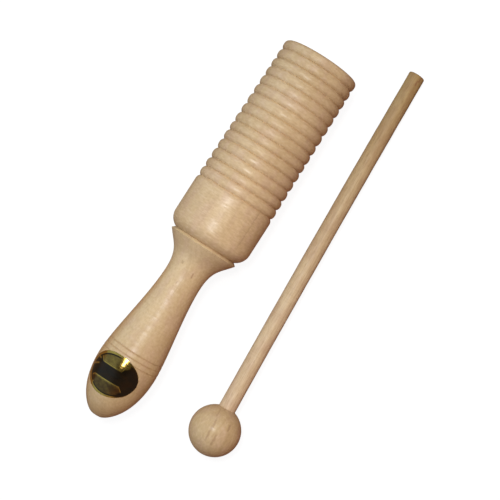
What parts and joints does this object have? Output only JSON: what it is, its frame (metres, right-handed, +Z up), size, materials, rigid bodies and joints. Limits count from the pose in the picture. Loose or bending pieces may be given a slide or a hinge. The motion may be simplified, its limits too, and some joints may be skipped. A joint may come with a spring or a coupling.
{
  "type": "tone block",
  "caption": "Turned wooden tone block: hollow ribbed head with a mouth and sound slot on a waisted handle, and a ball-ended mallet lying beside it.",
  "frame": {"origin": "on the surface the set lies on, under the middle of the box round block and mallet", "axes": "+Z up, +Y along the block from the handle's butt to the open mouth, +X from the block to the mallet"},
  "size_m": [0.0832, 0.2158, 0.0406],
  "materials": {
    "head_wood": "pale close-grained hardwood, turned, thin satin lacquer",
    "handle_wood": "pale close-grained hardwood, turned, thin satin lacquer",
    "label_foil": "thin gold-coloured foil with dark printing, glossy",
    "stick_wood": "bare dowel with long grain, matt",
    "ball_wood": "turned wooden bead, thin satin lacquer"
  },
  "bodies": {
    "block": {"tone_head": "head_wood", "handle": "handle_wood", "foil_label": "label_foil"},
    "mallet": {"mallet_stick": "stick_wood", "mallet_ball": "ball_wood"}
  },
  "joints": [
    {"name": "mallet_lift", "type": "slide", "parent": "block", "child": "mallet", "axis": [0, 0, 1], "range_m": [0, 0.1]}
  ]
}
